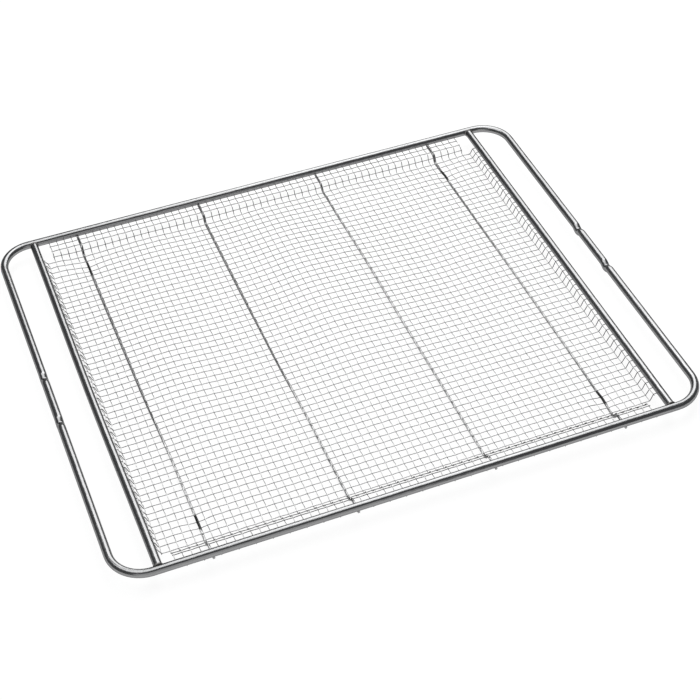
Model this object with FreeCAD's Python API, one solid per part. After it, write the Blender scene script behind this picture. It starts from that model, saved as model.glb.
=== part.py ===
import FreeCAD, Part
import math
import os

# Wire cooling rack: a welded rod frame that carries a shallow tray of square-mesh wire.
# Millimetres. X runs along the rack from one hand opening to the other, Y runs across it
# and Z points up from the surface that it stands on. The origin is under the rack's middle.

# ---------------------------------------------------------------- driving dimensions
rack_length = 650.0           # over the outer rod, along X
rack_width = 530.0            # over the outer rod, along Y
rod_diameter = 9.0            # outer frame rod and both cross bars
corner_radius = 35.0          # centre line of the frame's four corners

hand_opening = 32.5           # clear gap between an end bar and its cross bar

kink_spacing = 70.0           # centre to centre of the two kinks in an end bar
kink_length = 17.0            # along the end bar
kink_depth = 3.0              # how far the rod's centre line dips
kink_bottom_radius = 6.0      # centre line
kink_shoulder_radius = 9.0    # centre line

mesh_wire_diameter = 0.9
cross_wire_pitch = 8.84       # spacing of the wires that run across the rack
long_wire_pitch = 8.9         # spacing of the wires that run along the rack
tray_depth = 9.0              # mesh floor below the mesh lips
long_lip_width = 19.6         # rail's centre line to the top of the tray's wall
long_wall_angle = 57.0        # degrees from level, front and back walls
side_lip_width = 4.8          # cross bar's centre line to the top of the tray's wall
side_wall_angle = 66.0        # degrees from level, left and right walls
wire_fold_radius = 2.0        # centre line, at each fold of a mesh wire
fold_margin = 0.2             # flat wire left between a fold and the floor panel's edge
wire_overhang = 1.2           # a cut wire's end past the last wire that it crosses
lip_end_past_bar = 1.5        # a mesh wire's end past the centre line of its rod

support_wire_diameter = 2.8
support_wire_spacing = 150.0
support_wire_count = 4
support_fold_radius = 7.0     # centre line, at each fold
support_end_past_rail = 1.0   # a support wire's end past the rail's centre line

weld_leg = 1.0                # how far a weld stands out round the end of a cross bar
weld_toe = 0.4                # its thickness where it runs out along the bar
weld_run_out = 2.5            # how far it runs along the bar from the rail's face

touch_clearance = 0.01        # between two wires that lie against each other

# ---------------------------------------------------------------- derived dimensions
rod_radius = rod_diameter / 2
mesh_wire_radius = mesh_wire_diameter / 2
support_wire_radius = support_wire_diameter / 2

rail_y = rack_width / 2 - rod_radius
end_bar_x = rack_length / 2 - rod_radius
cross_bar_x = end_bar_x - rod_diameter - hand_opening

# Heights below the rod's centre line. The cross wires lie on the long wires, and the
# long wires lie on the support wires, whose straight undersides are the rack's foot.
mesh_layer_step = mesh_wire_diameter + touch_clearance
support_step = mesh_wire_radius + support_wire_radius + touch_clearance
lip_drop = rod_radius + mesh_wire_radius + touch_clearance
cross_floor_drop = lip_drop + tray_depth
long_floor_drop = cross_floor_drop + mesh_layer_step
support_lip_drop = lip_drop + mesh_layer_step + support_step
support_floor_drop = long_floor_drop + support_step
rod_height = support_floor_drop + support_wire_radius

long_wall_slope = math.radians(long_wall_angle)
side_wall_slope = math.radians(side_wall_angle)


def point(x, y, z):
    """A point of the rack."""
    return FreeCAD.Vector(x, y, z)


def bent_path(points, radii):
    """Straight runs through the points, with a tangent arc of the given radius at each bend."""
    edges = []
    start = points[0]
    for before, corner, after, radius in zip(points, points[1:], points[2:], radii):
        arriving = (corner - before).normalize()
        leaving = (after - corner).normalize()
        setback = radius * math.tan(arriving.getAngle(leaving) / 2)
        arc_start = corner - arriving * setback
        arc_end = corner + leaving * setback
        inward = (leaving - arriving).normalize()
        centre_distance = math.hypot(radius, setback)
        arc_middle = corner + inward * (centre_distance - radius)
        edges.append(Part.LineSegment(start, arc_start).toShape())
        edges.append(Part.Arc(arc_start, arc_middle, arc_end).toShape())
        start = arc_end
    edges.append(Part.LineSegment(start, points[-1]).toShape())
    return Part.Wire(edges)


def round_bar(path, diameter):
    """A solid round bar whose centre line is the path."""
    first_edge = path.Edges[0]
    start = first_edge.valueAt(first_edge.FirstParameter)
    heading = first_edge.tangentAt(first_edge.FirstParameter)
    section = Part.Wire(Part.makeCircle(diameter / 2, start, heading))
    return path.makePipeShell([section], True, True)


def straight_bar(start, end, diameter):
    """A straight round bar between two points."""
    run = end - start
    return Part.makeCylinder(diameter / 2, run.Length, start, run)


def tray_profile(end, lip_top, slope, lip_drop_here, floor_drop_here):
    """Half of a wire's side view, as (distance from the middle, height) from floor to lip end."""
    fall = floor_drop_here - lip_drop_here
    foot = lip_top - fall / math.tan(slope)
    lip_height = rod_height - lip_drop_here
    floor_height = rod_height - floor_drop_here
    return [(foot, floor_height), (lip_top, lip_height), (end, lip_height)]


def folded_wire(side_view, place, radius, diameter):
    """A wire that follows its side view; place turns (distance, height) into a point."""
    points = [place(distance, height) for distance, height in side_view]
    return round_bar(bent_path(points, [radius] * (len(points) - 2)), diameter)


def shifted_top(rod_place, lip_width, slope, shift):
    """Where the wall's top fold lies in a layer that is shift above the cross wires' layer."""
    return rod_place - lip_width - shift * math.tan(slope / 2)


# ---------------------------------------------------------------- frame rod
def kink_points(middle):
    """The three bends of one downward kink in the end bar at +X."""
    half = kink_length / 2
    return [
        point(end_bar_x, middle - half, rod_height),
        point(end_bar_x, middle, rod_height - kink_depth),
        point(end_bar_x, middle + half, rod_height),
    ]


def half_frame():
    """The +X half of the frame, from the middle of the front rail to that of the back rail."""
    points = [point(0, -rail_y, rod_height), point(end_bar_x, -rail_y, rod_height)]
    points += kink_points(-kink_spacing / 2)
    points += kink_points(kink_spacing / 2)
    points += [point(end_bar_x, rail_y, rod_height), point(0, rail_y, rod_height)]
    kink_radii = [kink_shoulder_radius, kink_bottom_radius, kink_shoulder_radius]
    radii = [corner_radius] + kink_radii * 2 + [corner_radius]
    return round_bar(bent_path(points, radii), rod_diameter)


def outer_frame():
    """One rod bent to a closed loop with two kinks in each end bar."""
    right_half = half_frame()
    left_half = right_half.copy()
    left_half.rotate(point(0, 0, 0), point(0, 0, 1), 180)
    return right_half.fuse(left_half).removeSplitter().Solids[0]


# ---------------------------------------------------------------- cross bars and their welds
def cross_bar(side, frame):
    """A straight rod coped to fit between the two long rails."""
    x = side * cross_bar_x
    bar = straight_bar(point(x, -rail_y, rod_height), point(x, rail_y, rod_height), rod_diameter)
    return bar.cut(frame).Solids[0]


def end_weld(side, end, bar, frame):
    """The fillet of weld round one end of a cross bar, against the rail."""
    length = rod_radius + weld_run_out
    collar = Part.makeCone(rod_radius + weld_toe, rod_radius + weld_leg, length,
                           point(side * cross_bar_x, end * (rail_y - length), rod_height),
                           point(0, end, 0))
    pieces = collar.cut(bar).cut(frame).Solids
    return max(pieces, key=lambda piece: piece.Volume)


# ---------------------------------------------------------------- support wires
def support_wire(x):
    """A wire that crosses under the mesh from rail to rail, folded down with the tray."""
    below_cross_layer = mesh_layer_step + support_step
    lip_top = shifted_top(rail_y, long_lip_width, long_wall_slope, -below_cross_layer)
    half = tray_profile(rail_y + support_end_past_rail, lip_top, long_wall_slope,
                        support_lip_drop, support_floor_drop)
    mirrored = [(-distance, height) for distance, height in reversed(half)]
    return folded_wire(mirrored + half, lambda y, z: point(x, y, z),
                       support_fold_radius, support_wire_diameter)


# ---------------------------------------------------------------- mesh
def cross_layer_side_view():
    """Side view of a cross wire from rail to rail."""
    lip_top = shifted_top(rail_y, long_lip_width, long_wall_slope, 0)
    return tray_profile(rail_y + lip_end_past_bar, lip_top, long_wall_slope,
                        lip_drop, cross_floor_drop)


def long_layer_side_view():
    """Side view of a long wire from cross bar to cross bar."""
    lip_top = cross_bar_x - side_lip_width
    return tray_profile(cross_bar_x + lip_end_past_bar, lip_top, side_wall_slope,
                        lip_drop, long_floor_drop)


def along_profile(half, distance):
    """The point and the wall's slope at a distance from the middle, measured along the wire."""
    start = (0.0, half[0][1])
    for end in half:
        run = math.hypot(end[0] - start[0], end[1] - start[1])
        if distance <= run:
            share = distance / run
            slope = math.atan2(end[1] - start[1], end[0] - start[0])
            place = (start[0] + share * (end[0] - start[0]), start[1] + share * (end[1] - start[1]))
            return place, slope
        distance -= run
        start = end
    return None


def last_floor_index(half, pitch, first):
    """How many wires past the first one still lie on the tray's floor, going outwards."""
    return math.floor((half[0][0] - first) / pitch)


cross_half = cross_layer_side_view()
long_half = long_layer_side_view()

first_cross = cross_wire_pitch / 2
last_cross = first_cross + cross_wire_pitch * last_floor_index(long_half, cross_wire_pitch, first_cross)
last_long = long_wire_pitch * last_floor_index(cross_half, long_wire_pitch, 0.0)

# The corners are cut out of the mesh: wires in a wall stop at the last wire of the floor.
inner_last_cross = last_cross - cross_wire_pitch
long_edge_reach = inner_last_cross + wire_overhang
cross_edge_reach = last_long + wire_overhang


def flat_reach(half, slope):
    """How far from the middle a wire's flat stretch ends, just inside its fold."""
    return half[0][0] - wire_fold_radius * math.tan(slope / 2) - fold_margin


cross_flat_reach = flat_reach(cross_half, long_wall_slope)
long_flat_reach = flat_reach(long_half, side_wall_slope)


def floor_cross_wire(x):
    """The flat stretch of a cross wire, on the tray's floor."""
    height = cross_half[0][1]
    return straight_bar(point(x, -cross_flat_reach, height),
                        point(x, cross_flat_reach, height), mesh_wire_diameter)


def floor_long_wire(y):
    """The flat stretch of a long wire, on the tray's floor."""
    height = long_half[0][1]
    return straight_bar(point(-long_flat_reach, y, height),
                        point(long_flat_reach, y, height), mesh_wire_diameter)


def flange_cross_wire(x, side):
    """A cross wire's end, up one long wall and out along its lip to the rail."""
    side_view = [(cross_flat_reach, cross_half[0][1])] + cross_half
    return folded_wire(side_view, lambda y, z: point(x, side * y, z),
                       wire_fold_radius, mesh_wire_diameter)


def flange_long_wire(y, side):
    """A long wire's end, up one side wall and out to the cross bar."""
    side_view = [(long_flat_reach, long_half[0][1])] + long_half
    return folded_wire(side_view, lambda x, z: point(side * x, y, z),
                       wire_fold_radius, mesh_wire_diameter)


def clear_of_fold(place, middle, slope, side):
    """A place inside a fold, pulled towards its middle until it clears the bent wires."""
    across = side * (place[0] - middle[0])
    below = side * (middle[1] - place[1])
    if not 0 < math.atan2(across, below) < slope:
        return place
    pull = (wire_fold_radius - mesh_layer_step) / math.hypot(across, below)
    return middle[0] + pull * (place[0] - middle[0]), middle[1] + pull * (place[1] - middle[1])


def edge_wires(half, pitch, first, offset):
    """(distance, height) of each wire past the floor, shifted off the wires that it crosses."""
    places = []
    number = 1
    found = along_profile(half, first + pitch)
    while found is not None and found[0][0] <= half[-1][0] - lip_end_past_bar - rod_radius:
        (distance, height), slope = found
        places.append((distance - offset * math.sin(slope), height + offset * math.cos(slope)))
        number += 1
        found = along_profile(half, first + pitch * number)
    return places


def edge_long_wires(side):
    """The straight long wires of one long wall and lip, under the cross wires."""
    lip_fold = (cross_half[1][0] + wire_fold_radius * math.tan(long_wall_slope / 2),
                cross_half[1][1] - wire_fold_radius)
    wires = []
    for place in edge_wires(cross_half, long_wire_pitch, last_long, -mesh_layer_step):
        distance, height = clear_of_fold(place, lip_fold, long_wall_slope, -1)
        y = side * distance
        wires.append(straight_bar(point(-long_edge_reach, y, height),
                                  point(long_edge_reach, y, height), mesh_wire_diameter))
    return Part.makeCompound(wires)


def edge_cross_wires(side):
    """The straight cross wires at the foot and in the wall of one side, over the long wires."""
    foot_height = rod_height - cross_floor_drop
    foot_fold = (long_half[0][0] - wire_fold_radius * math.tan(side_wall_slope / 2),
                 long_half[0][1] + wire_fold_radius)
    places = [(last_cross, foot_height)]
    places += edge_wires(long_half, cross_wire_pitch, last_cross, mesh_layer_step)
    wires = []
    for place in places:
        distance, height = clear_of_fold(place, foot_fold, side_wall_slope, 1)
        x = side * distance
        wires.append(straight_bar(point(x, -cross_edge_reach, height),
                                  point(x, cross_edge_reach, height), mesh_wire_diameter))
    return Part.makeCompound(wires)


def full_cross_places():
    """X of every full cross wire."""
    count = round(2 * inner_last_cross / cross_wire_pitch) + 1
    return [-inner_last_cross + number * cross_wire_pitch for number in range(count)]


def full_long_places():
    """Y of every full long wire."""
    count = round(2 * last_long / long_wire_pitch) + 1
    return [-last_long + number * long_wire_pitch for number in range(count)]


# ---------------------------------------------------------------- pieces
support_places = [(number - (support_wire_count - 1) / 2) * support_wire_spacing
                  for number in range(support_wire_count)]
bay_names = ["left_bay", "inner_left_bay", "centre_bay", "inner_right_bay", "right_bay"]
support_names = ["left", "inner_left", "inner_right", "right"]

pieces = {}
pieces["outer_frame"] = outer_frame()
for side, side_name in ((-1, "left"), (1, "right")):
    bar = cross_bar(side, pieces["outer_frame"])
    pieces[side_name + "_cross_bar"] = bar
    for end, end_name in ((-1, "front"), (1, "back")):
        weld = end_weld(side, end, bar, pieces["outer_frame"])
        pieces[end_name + "_" + side_name + "_weld"] = weld
for name, x in zip(support_names, support_places):
    pieces[name + "_support_wire"] = support_wire(x)

# The mesh is one woven sheet folded into a floor and four flanges. Each panel's wires are
# nodes of their own, by direction, and the floor's cross wires by the bay that they cross.
pieces["floor_long_wires"] = Part.makeCompound([floor_long_wire(y) for y in full_long_places()])
bay_edges = [-rack_length] + support_places + [rack_length]
for name, low, high in zip(bay_names, bay_edges, bay_edges[1:]):
    wires = [floor_cross_wire(x) for x in full_cross_places() if low <= x < high]
    pieces["floor_cross_wires_" + name] = Part.makeCompound(wires)
for end, end_name in ((-1, "front"), (1, "back")):
    wires = [flange_cross_wire(x, end) for x in full_cross_places()]
    pieces[end_name + "_flange_cross_wires"] = Part.makeCompound(wires)
    pieces[end_name + "_flange_long_wires"] = edge_long_wires(end)
for side, side_name in ((-1, "left"), (1, "right")):
    wires = [flange_long_wire(y, side) for y in full_long_places()]
    pieces[side_name + "_flange_long_wires"] = Part.makeCompound(wires)
    pieces[side_name + "_flange_cross_wires"] = edge_cross_wires(side)

os.makedirs("parts", exist_ok=True)
for name, shape in pieces.items():
    shape.exportStep("parts/" + name + ".step")
    print(name, len(shape.Solids), "solids", round(shape.Volume, 1), "mm3")
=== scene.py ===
import math

import bmesh
import bpy
from mathutils import Matrix, Vector, noise


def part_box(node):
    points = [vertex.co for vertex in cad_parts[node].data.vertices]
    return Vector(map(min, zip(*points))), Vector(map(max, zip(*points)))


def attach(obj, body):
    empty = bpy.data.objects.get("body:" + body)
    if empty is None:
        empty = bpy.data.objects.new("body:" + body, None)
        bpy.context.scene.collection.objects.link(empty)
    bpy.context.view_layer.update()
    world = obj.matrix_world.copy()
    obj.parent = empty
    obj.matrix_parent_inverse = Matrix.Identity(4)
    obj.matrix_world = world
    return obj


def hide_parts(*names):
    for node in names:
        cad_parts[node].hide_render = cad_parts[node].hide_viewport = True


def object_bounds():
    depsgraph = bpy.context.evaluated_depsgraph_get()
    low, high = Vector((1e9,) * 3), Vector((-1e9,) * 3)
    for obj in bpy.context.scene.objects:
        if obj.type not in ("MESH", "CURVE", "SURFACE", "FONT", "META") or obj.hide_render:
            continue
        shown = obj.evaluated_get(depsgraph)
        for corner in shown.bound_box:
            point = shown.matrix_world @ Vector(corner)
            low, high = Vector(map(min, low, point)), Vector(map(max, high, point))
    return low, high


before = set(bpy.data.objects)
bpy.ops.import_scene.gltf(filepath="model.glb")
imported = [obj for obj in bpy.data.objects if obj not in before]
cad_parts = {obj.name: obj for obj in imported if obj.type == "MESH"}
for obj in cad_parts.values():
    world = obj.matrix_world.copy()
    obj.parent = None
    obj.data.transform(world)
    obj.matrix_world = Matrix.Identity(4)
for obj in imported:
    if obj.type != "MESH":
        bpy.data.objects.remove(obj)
cad_low, cad_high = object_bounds()

# ---------------------------------------------------------------- outer frame
# One 9 mm stainless rod bent to a closed loop with four rounded corners. Each end bar has two
# shallow kinks that mark the grip. The loop's own butt weld is taken as ground flush.
frame_low, frame_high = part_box("outer_frame")
left_bar_low, left_bar_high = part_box("left_cross_bar")
rod_radius = (left_bar_high.x - left_bar_low.x) / 2
rod_height = frame_high.z - rod_radius
rail_y = frame_high.y - rod_radius
end_bar_x = frame_high.x - rod_radius
corner_radius = 0.035
kink_depth = rod_height - rod_radius - frame_low.z
kink_spacing = 0.070
kink_length = 0.017
rod_sides = 10
bend_steps = 14
straight_enough = 0.001


def bend_handle(start, end):
    """Handle length that carries a rod from one knot to the next in a round bend."""
    chord = (end[0] - start[0]).length
    turn = start[1].angle(end[1])
    if turn < straight_enough:
        return chord / 3
    return chord * 2 / 3 * math.tan(turn / 4) / math.sin(turn / 2)


def bent_rod(name, knots, radius, closed=False):
    """A round rod through knots of (place, heading), straight or in round bends between them."""
    curve = bpy.data.curves.new(name, "CURVE")
    curve.dimensions = "3D"
    curve.bevel_depth = radius
    curve.bevel_resolution = rod_sides
    curve.resolution_u = bend_steps
    curve.use_fill_caps = not closed
    spline = curve.splines.new("BEZIER")
    spline.use_cyclic_u = closed
    spline.bezier_points.add(len(knots) - 1)
    for number, knot in enumerate(knots):
        place, heading = knot
        following = knots[(number + 1) % len(knots)]
        bend_point = spline.bezier_points[number]
        bend_point.handle_left_type = "FREE"
        bend_point.handle_right_type = "FREE"
        bend_point.co = place
        bend_point.handle_left = place - heading * bend_handle(knots[number - 1], knot)
        bend_point.handle_right = place + heading * bend_handle(knot, following)
    return add_piece(name, curve)


def add_piece(name, curve):
    """Turns a bevelled curve into a mesh piece that rides with the rack."""
    drawn = bpy.data.objects.new(name + "_line", curve)
    bpy.context.scene.collection.objects.link(drawn)
    depsgraph = bpy.context.evaluated_depsgraph_get()
    piece = bpy.data.objects.new(name, bpy.data.meshes.new_from_object(drawn.evaluated_get(depsgraph)))
    bpy.data.objects.remove(drawn)
    bpy.context.scene.collection.objects.link(piece)
    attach(piece, "root")
    return piece


def half_loop():
    """The loop's knots from the right end of the front rail to that of the back rail."""
    along_x = Vector((1, 0, 0))
    along_y = Vector((0, 1, 0))
    bend_start = end_bar_x - corner_radius
    bend_end = rail_y - corner_radius
    knots = [(Vector((bend_start, -rail_y, rod_height)), along_x)]
    knots.append((Vector((end_bar_x, -bend_end, rod_height)), along_y))
    for middle in (-kink_spacing / 2, kink_spacing / 2):
        for shift, drop in ((-kink_length / 2, 0), (0, kink_depth), (kink_length / 2, 0)):
            knots.append((Vector((end_bar_x, middle + shift, rod_height - drop)), along_y))
    knots.append((Vector((end_bar_x, bend_end, rod_height)), along_y))
    knots.append((Vector((bend_start, rail_y, rod_height)), -along_x))
    return knots


class Shade:
    """A shader socket that can stand in a sum; node() adds any other node to its material."""

    def __init__(self, tree, socket=None):
        self.tree = tree
        self.socket = socket

    def node(self, kind, settings=None, inputs=None, output=0):
        made = self.tree.nodes.new(kind)
        for name, value in (settings or {}).items():
            setattr(made, name, value)
        for name, value in (inputs or {}).items():
            if isinstance(value, Shade):
                self.tree.links.new(value.socket, made.inputs[name])
            else:
                made.inputs[name].default_value = value
        return Shade(self.tree, made.outputs[output] if made.outputs else None)

    def maths(self, operation, first, second=0.0, clamp=False):
        settings = {"operation": operation, "use_clamp": clamp}
        return self.node("ShaderNodeMath", settings, {0: first, 1: second})

    def __add__(self, other):
        return self.maths("ADD", self, other)

    def __radd__(self, other):
        return self.maths("ADD", other, self)

    def __sub__(self, other):
        return self.maths("SUBTRACT", self, other)

    def __rsub__(self, other):
        return self.maths("SUBTRACT", other, self)

    def __mul__(self, other):
        return self.maths("MULTIPLY", self, other)

    def band(self, coordinates, axis, start, end, fade):
        """1 where a place's distance from the middle, along an axis, is between two values."""
        place = self.node("ShaderNodeSeparateXYZ", {}, {"Vector": coordinates}, output=axis)
        from_middle = self.maths("ABSOLUTE", place)
        past_start = self.maths("MULTIPLY", from_middle - start, 1 / fade, clamp=True)
        short_of_end = self.maths("MULTIPLY", end - from_middle, 1 / fade, clamp=True)
        return past_start * short_of_end

    def grain(self, coordinates, stretch, scale, detail=3.0):
        """Noise from 0 to 1, drawn out along the axes where stretch is small."""
        drawn_out = self.node("ShaderNodeMapping", {}, {"Vector": coordinates, "Scale": stretch})
        return self.node("ShaderNodeTexNoise", {}, {"Vector": drawn_out, "Scale": scale, "Detail": detail})

    def blend(self, share, first, second):
        """One colour faded into another."""
        return self.node("ShaderNodeMix", {"data_type": "RGBA"}, {0: share, 6: first, 7: second}, output=2)


def steel(name, colour, roughness, bump_depth, bump_height, edge_tint):
    """A metal from functions that give its colour, roughness and bump height over the surface."""
    material = bpy.data.materials.new(name)
    material.use_nodes = True
    material.node_tree.nodes.clear()
    shade = Shade(material.node_tree)
    coordinates = shade.node("ShaderNodeTexCoord", output=3)
    bump = shade.node("ShaderNodeBump", {}, {
        "Strength": 1.0,
        "Distance": bump_depth,
        "Height": bump_height(shade, coordinates),
    })
    surface = shade.node("ShaderNodeBsdfPrincipled", {}, {
        "Base Color": colour(shade, coordinates),
        "Roughness": roughness(shade, coordinates),
        "Metallic": 1.0,
        "Specular Tint": (edge_tint, edge_tint, edge_tint, 1.0),
        "Normal": bump,
    })
    shade.node("ShaderNodeOutputMaterial", {}, {"Surface": surface})
    return material


def drawn_lines(shade, coordinates):
    """Fine lines left by the drawing die, along the rails and along the bars."""
    place = shade.node("ShaderNodeSeparateXYZ", {}, {"Vector": coordinates}, output=1)
    from_middle = shade.maths("ABSOLUTE", place)
    on_rail = shade.maths("MULTIPLY", from_middle - (rail_y - corner_radius), 1 / corner_radius, clamp=True)
    rail_lines = shade.grain(coordinates, (0.03, 1.0, 1.0), 1500.0)
    bar_lines = shade.grain(coordinates, (1.0, 0.03, 1.0), 1500.0)
    return rail_lines * on_rail + bar_lines * (1 - on_rail)


def rod_colour(shade, coordinates):
    clouding = shade.grain(coordinates, (1.0, 1.0, 1.0), 16.0, 4.0)
    scuffs = shade.grain(coordinates, (1.0, 1.0, 1.0), 420.0, 2.0)
    share = drawn_lines(shade, coordinates) * 0.35 + clouding * 0.45 + scuffs * 0.2
    return shade.blend(share, (0.22, 0.222, 0.225, 1.0), (0.36, 0.36, 0.362, 1.0))


def rod_roughness(shade, coordinates):
    smears = shade.grain(coordinates, (1.0, 1.0, 1.0), 28.0, 5.0)
    return 0.08 + drawn_lines(shade, coordinates) * 0.14 + smears * 0.14


def rod_bump(shade, coordinates):
    dents = shade.grain(coordinates, (1.0, 1.0, 1.0), 90.0, 1.0)
    return drawn_lines(shade, coordinates) * 0.2 + dents


polished_rod = steel("polished_rod", rod_colour, rod_roughness, 0.0003, rod_bump, 0.4)

right_half = half_loop()
half_turn = Matrix.Rotation(math.pi, 3, "Z")
left_half = [(half_turn @ place, half_turn @ heading) for place, heading in right_half]
outer_frame = bent_rod("frame_loop", right_half + left_half, rod_radius, closed=True)
outer_frame.data.materials.append(polished_rod)
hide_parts("outer_frame")

# ---------------------------------------------------------------- cross bars
# Two straight lengths of the same rod, cut square, butted against the rails' inner sides and
# welded there. The left one bows a little outwards.
right_bar_low, right_bar_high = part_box("right_cross_bar")
left_bar_bow = 0.0015
butt_depth = 0.0044

for side, low, high, bow in (
    ("left", left_bar_low, left_bar_high, -left_bar_bow),
    ("right", right_bar_low, right_bar_high, 0.0),
):
    bar_x = (low.x + high.x) / 2
    bar_end = rail_y - butt_depth
    across = Vector((0, 1, 0))
    knots = [
        (Vector((bar_x, -bar_end, rod_height)), across),
        (Vector((bar_x + bow, 0, rod_height)), across),
        (Vector((bar_x, bar_end, rod_height)), across),
    ]
    cross_bar = bent_rod(side + "_bar", knots, rod_radius)
    cross_bar.data.materials.append(polished_rod)
    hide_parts(side + "_cross_bar")

# ---------------------------------------------------------------- welds
# A bead of weld runs round the saddle where each cross bar meets a rail. It is modelled as laid
# in short dabs and brushed: lumpy, dull and faintly straw-coloured.
bead_radius = 0.00085
weld_seat = 0.0037
bead_dabs = 9
bead_points = 54
bead_sides = 4
bead_thinnest = 0.85
bead_side_swell = 0.1
bead_dab_swell = 0.2
bead_lumps = 0.15
bead_lump_scale = 400


def weld_colour(shade, coordinates):
    tint = shade.grain(coordinates, (1.0, 1.0, 1.0), 260.0)
    return shade.blend(tint, (0.20, 0.19, 0.18, 1.0), (0.42, 0.41, 0.40, 1.0))


def weld_roughness(shade, coordinates):
    return 0.3 + shade.grain(coordinates, (1.0, 1.0, 1.0), 900.0) * 0.3


def weld_bump(shade, coordinates):
    return shade.grain(coordinates, (1.0, 1.0, 1.0), 1400.0)


brushed_weld = steel("brushed_weld", weld_colour, weld_roughness, 0.0002, weld_bump, 0.5)

for side, bar_x in (
    ("left", (left_bar_low.x + left_bar_high.x) / 2),
    ("right", (right_bar_low.x + right_bar_high.x) / 2),
):
    for end_name, end in (("front", -1), ("back", 1)):
        curve = bpy.data.curves.new(end_name + "_" + side + "_bead", "CURVE")
        curve.dimensions = "3D"
        curve.bevel_depth = bead_radius
        curve.bevel_resolution = bead_sides
        spline = curve.splines.new("POLY")
        spline.use_cyclic_u = True
        spline.points.add(bead_points - 1)
        for number, bead_point in enumerate(spline.points):
            angle = 2 * math.pi * number / bead_points
            sideways = abs(math.sin(angle))
            place = Vector((
                bar_x + rod_radius * math.sin(angle),
                end * (rail_y - max(rod_radius * sideways, weld_seat)),
                rod_height + rod_radius * math.cos(angle),
            ))
            bead_point.co = (*place, 1)
            dab = abs(math.sin(bead_dabs * angle / 2))
            lump = noise.noise(place * bead_lump_scale)
            fullness = bead_thinnest + bead_side_swell * sideways + bead_dab_swell * dab
            bead_point.radius = fullness + bead_lumps * lump
        bead = add_piece(end_name + "_" + side + "_bead", curve)
        bead.data.materials.append(brushed_weld)
        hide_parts(end_name + "_" + side + "_weld")

# ---------------------------------------------------------------- support wires
# Four 2.8 mm wires carry the mesh from rail to rail. They are folded down with the tray, welded
# under the mesh and to the undersides of both rails, and bow up a little where the mesh swells.
# Near their ends the two outer ones come up through the mesh. There each has a short stretch of
# painted shade, near black, for the dark that the bare wire reflects.
floor_long_low, floor_long_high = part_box("floor_long_wires")
floor_cross_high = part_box("floor_cross_wires_centre_bay")[1]
front_flange_low, front_flange_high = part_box("front_flange_cross_wires")
mesh_floor = (floor_long_low.z + floor_cross_high.z) / 2
mesh_wire_radius = (floor_cross_high.z - floor_long_low.z) / 4
mesh_lip = front_flange_high.z - 2 * mesh_wire_radius
wall_foot_y = 0.2353
wall_slope = math.radians(57)
mesh_fold_radius = 0.0021

# Where the sheet has swelled or sagged off its nominal floor: (x, y, rise, reach in x, reach in y).
swells = [
    (-0.185, 0.000, 0.0040, 0.045, 0.140),
    (-0.150, 0.210, 0.0026, 0.045, 0.070),
    (-0.262, 0.226, 0.0034, 0.018, 0.030),
    (0.005, 0.130, 0.0050, 0.045, 0.120),
    (0.015, 0.000, 0.0030, 0.050, 0.110),
    (0.060, 0.090, 0.0020, 0.025, 0.070),
    (0.148, 0.060, -0.0023, 0.040, 0.110),
    (0.262, 0.215, 0.0022, 0.020, 0.050),
    (0.105, 0.222, 0.0025, 0.045, 0.025),
]

# The outer support wires come up through the mesh for a few cells near each end.
threaded_places = [(-0.225, -0.206), (-0.225, 0.211), (0.225, -0.210), (0.225, 0.204)]
thread_reach = 0.011
thread_dip = 0.0026
thread_rise = 0.0019


def swell(x, y):
    """How far the mesh floor stands off its nominal height."""
    return sum(
        rise * math.exp(-((x - middle_x) / reach_x) ** 2 - ((y - middle_y) / reach_y) ** 2)
        for middle_x, middle_y, rise, reach_x, reach_y in swells
    )


def threaded(x, y):
    """1 where a support wire lies over the mesh, fading to 0 where it lies under it."""
    return sum(
        math.exp(-((x - place_x) / thread_reach) ** 2 - ((y - place_y) / thread_reach) ** 2)
        for place_x, place_y in threaded_places
    )


def between(values, share):
    """A smooth value between evenly spaced values, at a share of their whole length."""
    place = share * (len(values) - 1)
    number = min(int(place), len(values) - 2)
    part = place - number
    smooth = part * part * (3 - 2 * part)
    return values[number] + (values[number + 1] - values[number]) * smooth


def flange(foot, slope, rise, end, radius):
    """Stretches of (length, turn) from the tray's middle, up one wall and out along its lip."""
    setback = radius * math.tan(slope / 2)
    top = foot + rise / math.tan(slope)
    return [
        (foot - setback, 0.0),
        (radius * slope, slope),
        (rise / math.sin(slope) - 2 * setback, 0.0),
        (radius * slope, -slope),
        (end - top - setback, 0.0),
    ]


def along(stretches, distance):
    """(how far out, how far up, slope) at a distance along the stretches."""
    out = 0.0
    up = 0.0
    slope = 0.0
    for length, turn in stretches:
        run = min(distance, length)
        turned = turn * run / length
        chord = run if abs(turned) < 0.0001 else 2 * run / turned * math.sin(turned / 2)
        out += chord * math.cos(slope + turned / 2)
        up += chord * math.sin(slope + turned / 2)
        slope += turned
        distance -= run
        if distance <= 0:
            break
    return out, up, slope


def whole_length(stretches):
    return sum(length for length, turn in stretches)


def drawn_wires(name, paths, radius, fineness):
    """Round wires with cut ends, one along each path, as one piece."""
    curve = bpy.data.curves.new(name, "CURVE")
    curve.dimensions = "3D"
    curve.bevel_depth = radius
    curve.bevel_resolution = fineness
    curve.use_fill_caps = True
    for path in paths:
        spline = curve.splines.new("POLY")
        spline.points.add(len(path) - 1)
        for place, wire_point in zip(path, spline.points):
            wire_point.co = (*place, 1)
    return add_piece(name, curve)


outer_wires_from = 0.15
outer_wires_to = 0.30
# Where the outer support wires carry painted shade, as distances from the middle.
painted_shade_from = 0.194
painted_shade_to = 0.220


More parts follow.
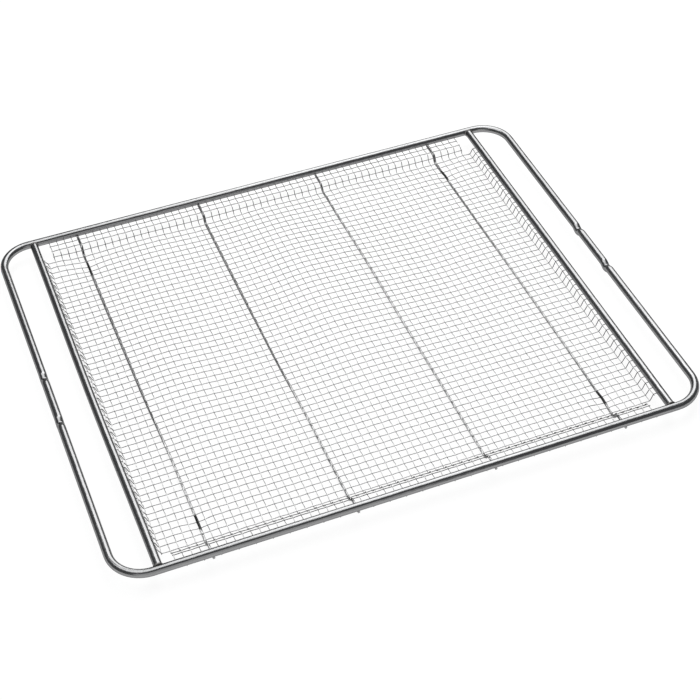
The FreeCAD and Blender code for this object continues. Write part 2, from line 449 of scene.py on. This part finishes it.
def support_colour(shade, coordinates):
    lines = shade.grain(coordinates, (1.0, 0.04, 1.0), 1200.0)
    clouding = shade.grain(coordinates, (1.0, 1.0, 1.0), 40.0, 4.0)
    bright = shade.blend(lines * 0.5 + clouding * 0.5, (0.28, 0.28, 0.282, 1.0), (0.46, 0.46, 0.462, 1.0))
    on_outer_wire = shade.band(coordinates, 0, outer_wires_from, outer_wires_to, 0.01)
    # Painted shade: a near-black stretch on each outer wire near its ends, for the dark that the bare wire
    # reflects there.
    painted_shade_stretch = shade.band(coordinates, 1, painted_shade_from, painted_shade_to, 0.004) * on_outer_wire
    return shade.blend(painted_shade_stretch, bright, (0.03, 0.03, 0.03, 1.0))


def support_roughness(shade, coordinates):
    return 0.08 + shade.grain(coordinates, (1.0, 1.0, 1.0), 70.0, 4.0) * 0.2


def support_bump(shade, coordinates):
    return shade.grain(coordinates, (1.0, 0.06, 1.0), 1200.0)


drawn_wire = steel("drawn_wire", support_colour, support_roughness, 0.0001, support_bump, 0.5)
support_fold_radius = 0.007
support_foot_gap = 0.001
support_steps = 180
support_sides = 5

# How far each wire has drifted sideways along its length, from the front to the back.
for name, drifts in (
    ("left", (0.0003, 0.0006, -0.0015, -0.0018, -0.0014)),
    ("inner_left", (0.0017, 0.0015, -0.0006, -0.0012, -0.0010)),
    ("inner_right", (0.0018, 0.0019, 0.0014, 0.0013, 0.0000)),
    ("right", (0.0000, 0.0016, 0.0017, 0.0008, -0.0006)),
):
    low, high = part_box(name + "_support_wire")
    wire_x = (low.x + high.x) / 2
    wire_radius = (high.x - low.x) / 2
    climb = high.z - low.z - 2 * wire_radius
    half = flange(wall_foot_y + support_foot_gap, wall_slope, climb, high.y, support_fold_radius)
    reach = whole_length(half)
    path = []
    for step in range(-support_steps, support_steps + 1):
        out, up, slope = along(half, reach * abs(step) / support_steps)
        y = math.copysign(out, step)
        flatness = 1 - up / climb
        lift = max(swell(wire_x, y), 0) * flatness + thread_rise * threaded(wire_x, y)
        drift = between(drifts, (y - low.y) / (high.y - low.y))
        path.append(Vector((wire_x + drift, y, low.z + wire_radius + up + lift)))
    support = drawn_wires(name + "_support", [path], wire_radius, support_sides)
    support.data.materials.append(drawn_wire)
    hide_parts(name + "_support_wire")

# ---------------------------------------------------------------- mesh
# A square mesh woven from crimped 0.9 mm stainless wire, cut out at its corners and folded to a
# tray with a flat lip under each rod. Its floor isn't quite flat. It is all one kind of wire: the
# cross wires carry a painted highlight and the long wires painted shade, for how the light falls on
# each direction, and the walls carry painted shade, darkest in the front wall and its lip.
long_wire_count = 53
cross_wire_count = 60
last_long_y = floor_long_high.y - mesh_wire_radius
long_pitch = 2 * last_long_y / (long_wire_count - 1)
first_cross_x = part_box("floor_cross_wires_left_bay")[0].x + mesh_wire_radius
cross_pitch = -2 * first_cross_x / (cross_wire_count - 1)
long_crimp = 0.0002
cross_crimp = 2 * mesh_wire_radius - long_crimp
side_foot_x = 0.2697
side_slope = math.radians(66)
side_flange_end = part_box("right_flange_long_wires")[1].x
edge_long_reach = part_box("front_flange_long_wires")[1].x
edge_cross_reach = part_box("right_flange_cross_wires")[1].y
steps_per_cell = 4
flange_step = 0.0012
mesh_wire_sides = 1
wall_edge_fade = 0.001

rise = mesh_lip - mesh_floor
long_wall = flange(wall_foot_y, wall_slope, rise, -front_flange_low.y, mesh_fold_radius)
side_wall = flange(side_foot_x, side_slope, rise, side_flange_end, mesh_fold_radius)


def stations(stretches, cell):
    """Distances from one end of a wire to the other, in finer steps on its flanges."""
    flat = stretches[0][0]
    reach = whole_length(stretches)
    floor_steps = round(flat / cell * steps_per_cell)
    flange_steps = round((reach - flat) / flange_step)
    half = [flat * number / floor_steps for number in range(1, floor_steps + 1)]
    half += [flat + (reach - flat) * number / flange_steps for number in range(1, flange_steps + 1)]
    return [-distance for distance in reversed(half)] + [0.0] + half


def crimped_place(x, y, up, slope_x, slope_y, offset):
    """A point of a wire, offset from the sheet's middle along the sheet's normal."""
    lift = (swell(x, y) - thread_dip * threaded(x, y)) * max(1 - up / rise, 0)
    return Vector((
        x - offset * math.sin(slope_x),
        y - offset * math.sin(slope_y),
        mesh_floor + up + lift + offset * math.cos(slope_x) * math.cos(slope_y),
    ))


def cross_path(number, distances):
    """A cross wire, over and under the long wires."""
    x = first_cross_x + number * cross_pitch
    path = []
    for distance in distances:
        out, up, slope = along(long_wall, abs(distance))
        offset = cross_crimp * math.cos(math.pi * (distance / long_pitch + number))
        y = math.copysign(out, distance)
        path.append(crimped_place(x, y, up, 0, math.copysign(slope, distance), offset))
    return path


def long_path(row, distances):
    """A long wire of the floor, over and under the cross wires."""
    y = row * long_pitch
    path = []
    for distance in distances:
        out, up, slope = along(side_wall, abs(distance))
        cells = (distance - first_cross_x) / cross_pitch
        offset = -long_crimp * math.cos(math.pi * (cells + row))
        x = math.copysign(out, distance)
        path.append(crimped_place(x, y, up, math.copysign(slope, distance), 0, offset))
    return path


def edge_long_path(row):
    """A straight-running long wire in a long wall or its lip."""
    out, up, slope = along(long_wall, abs(row) * long_pitch)
    y = math.copysign(out, row)
    steps = round(2 * edge_long_reach / cross_pitch * steps_per_cell)
    path = []
    for step in range(steps + 1):
        x = edge_long_reach * (2 * step / steps - 1)
        offset = -long_crimp * math.cos(math.pi * ((x - first_cross_x) / cross_pitch + row))
        path.append(crimped_place(x, y, up, 0, math.copysign(slope, row), offset))
    return path


def edge_cross_path(number):
    """A straight-running cross wire at the foot of a side wall or in it."""
    distance = first_cross_x + number * cross_pitch
    out, up, slope = along(side_wall, abs(distance))
    x = math.copysign(out, distance)
    steps = round(2 * edge_cross_reach / long_pitch * steps_per_cell)
    path = []
    for step in range(steps + 1):
        y = edge_cross_reach * (2 * step / steps - 1)
        offset = cross_crimp * math.cos(math.pi * (y / long_pitch + number))
        path.append(crimped_place(x, y, up, math.copysign(slope, distance), 0, offset))
    return path


def mesh_tone(shade, coordinates):
    lots = shade.grain(coordinates, (1.0, 1.0, 1.0), 22.0, 3.0)
    specks = shade.grain(coordinates, (1.0, 1.0, 1.0), 700.0, 2.0)
    return lots * 0.5 + specks * 0.5


def painted_wall_shade(shade, coordinates, bright, axis, foot, slope):
    """The colour, with painted shade on a sloping wall, for the dark that the wall's wires reflect."""
    wall = shade.band(coordinates, axis, foot, foot + rise / math.tan(slope), wall_edge_fade)
    # Painted shade: near black on the wall's wires.
    return shade.blend(wall, bright, (0.07, 0.07, 0.07, 1.0))


def long_wire_colour(shade, coordinates):
    tone = mesh_tone(shade, coordinates)
    # Painted shade: the long wires get a darker tone than the cross wires, for how the light falls on them.
    bright = shade.blend(tone, (0.18, 0.18, 0.182, 1.0), (0.42, 0.42, 0.422, 1.0))
    return painted_wall_shade(shade, coordinates, bright, 0, side_foot_x, side_slope)


def front_wall_shade_colour(shade, coordinates):
    # Painted shade: the rows in the front wall and its lip are painted near black as shade.
    return shade.blend(mesh_tone(shade, coordinates), (0.03, 0.03, 0.03, 1.0), (0.16, 0.16, 0.162, 1.0))


def cross_wire_colour(shade, coordinates):
    tone = mesh_tone(shade, coordinates)
    # Painted highlight: the cross wires get a lighter tone than the long wires, for the light they catch
    # from the back and right.
    bright = shade.blend(tone, (0.38, 0.38, 0.382, 1.0), (0.68, 0.68, 0.682, 1.0))
    return painted_wall_shade(shade, coordinates, bright, 1, wall_foot_y, wall_slope)


def mesh_roughness(shade, coordinates):
    return 0.10 + shade.grain(coordinates, (1.0, 1.0, 1.0), 90.0, 4.0) * 0.2


def mesh_bump(shade, coordinates):
    return shade.grain(coordinates, (1.0, 1.0, 1.0), 1600.0)


# Lit and shaded copies of one wire: painted shade on the long wires, painted highlight on the cross wires.
shaded_long_wire = steel("shaded_long_wire", long_wire_colour, mesh_roughness, 0.00005, mesh_bump, 0.6)
lit_cross_wire = steel("lit_cross_wire", cross_wire_colour, mesh_roughness, 0.00005, mesh_bump, 0.9)
# A copy of the mesh wire that carries painted shade, for the front wall and its lip.
shaded_front_wall_wire = steel("shaded_front_wall_wire", front_wall_shade_colour, mesh_roughness, 0.00005, mesh_bump, 0.5)

last_row = (long_wire_count - 1) // 2
cross_stations = stations(long_wall, long_pitch)
long_stations = stations(side_wall, cross_pitch)
bays = ["left_bay", "inner_left_bay", "centre_bay", "inner_right_bay", "right_bay"]
floor_bays = ["floor_cross_wires_" + bay for bay in bays]
mesh_pieces = [
    (
        "cross_wires",
        lit_cross_wire,
        [cross_path(number, cross_stations) for number in range(cross_wire_count)],
        floor_bays + ["front_flange_cross_wires", "back_flange_cross_wires"],
    ),
    (
        "long_wires",
        shaded_long_wire,
        [long_path(row, long_stations) for row in range(-last_row, last_row + 1)],
        ["floor_long_wires", "left_flange_long_wires", "right_flange_long_wires"],
    ),
    (
        "front_edge_wires",
        shaded_front_wall_wire,
        [edge_long_path(-last_row - number) for number in (1, 2, 3)],
        ["front_flange_long_wires"],
    ),
    (
        "back_edge_wires",
        shaded_long_wire,
        [edge_long_path(last_row + number) for number in (1, 2, 3)],
        ["back_flange_long_wires"],
    ),
    (
        "left_edge_wires",
        lit_cross_wire,
        [edge_cross_path(-number) for number in (1, 2)],
        ["left_flange_cross_wires"],
    ),
    (
        "right_edge_wires",
        lit_cross_wire,
        [edge_cross_path(cross_wire_count - 1 + number) for number in (1, 2)],
        ["right_flange_cross_wires"],
    ),
]
for name, wire, paths, nodes in mesh_pieces:
    wires = drawn_wires(name, paths, mesh_wire_radius, mesh_wire_sides)
    wires.data.materials.append(wire)
    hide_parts(*nodes)

# ---------------------------------------------------------------- floor
# The rack stands on a plain white light table, which leaves only a trace of shadow under it.
floor_size = 6.0
floor_drop = 0.0002

floor_mesh = bmesh.new()
bmesh.ops.create_grid(floor_mesh, x_segments=1, y_segments=1, size=floor_size / 2)
bmesh.ops.translate(floor_mesh, verts=floor_mesh.verts, vec=(0, 0, cad_low.z - floor_drop))
floor_data = bpy.data.meshes.new("studio_floor")
floor_mesh.to_mesh(floor_data)
floor_mesh.free()
floor = bpy.data.objects.new("studio_floor", floor_data)
bpy.context.scene.collection.objects.link(floor)
floor_paint = bpy.data.materials.new("floor_paint")
floor_paint.use_nodes = True
paint = floor_paint.node_tree.nodes["Principled BSDF"]
paint.inputs["Base Color"].default_value = (0.16, 0.16, 0.16, 1.0)
paint.inputs["Roughness"].default_value = 0.8
paint.inputs["Emission Color"].default_value = (1.0, 1.0, 1.0, 1.0)
paint.inputs["Emission Strength"].default_value = 0.88
floor.data.materials.append(floor_paint)

# ---------------------------------------------------------------- light
# One large soft box behind and to the right, a second overhead, and dim walls round the set. A
# pale card stands on the front left and shows low in the rails.
for name, place, width, height, watts in (
    ("back_soft_box", (1.0, 1.6, 1.7), 2.0, 2.0, 36.0),
    ("top_soft_box", (-0.1, 0.475, 2.6), 2.8, 1.85, 37.8),
    ("front_card", (-0.32, -1.25, 0.40), 1.4, 0.75, 2.3),
):
    lamp = bpy.data.lights.new(name, "AREA")
    lamp.shape = "RECTANGLE"
    lamp.size = width
    lamp.size_y = height
    lamp.energy = watts
    soft_box = bpy.data.objects.new(name, lamp)
    soft_box.location = place
    soft_box.rotation_euler = Vector(place).to_track_quat("Z", "Y").to_euler()
    bpy.context.scene.collection.objects.link(soft_box)

world = bpy.data.worlds.new("studio")
bpy.context.scene.world = world
world.use_nodes = True
walls = world.node_tree.nodes["Background"]
walls.inputs["Color"].default_value = (0.95, 0.97, 1.0, 1.0)
walls.inputs["Strength"].default_value = 0.14
bpy.context.scene.view_settings.view_transform = "Standard"

# ---------------------------------------------------------------- camera
# A long lens looks down on the rack from the front and a little from its left.
azimuth = math.radians(-19.886)
elevation = math.radians(44.238)
roll = math.radians(-2.0)
camera_distance = 1.77897
lens_length = 84.04
sensor_width = 36.0
aim = Vector((-0.00050, -0.05041, rod_height + 0.0004))

back = Vector((
    math.sin(azimuth) * math.cos(elevation),
    -math.cos(azimuth) * math.cos(elevation),
    math.sin(elevation),
))
right = Vector((0, 0, 1)).cross(back).normalized()
up = back.cross(right)
camera_data = bpy.data.cameras.new("camera")
camera_data.lens = lens_length
camera_data.sensor_width = sensor_width
camera = bpy.data.objects.new("camera", camera_data)
bpy.context.scene.collection.objects.link(camera)
camera_x = math.cos(roll) * right + math.sin(roll) * up
camera_y = math.cos(roll) * up - math.sin(roll) * right
turned = Matrix((camera_x, camera_y, back)).transposed()
camera.matrix_world = Matrix.LocRotScale(aim + back * camera_distance, turned.to_quaternion(), None)
bpy.context.scene.camera = camera
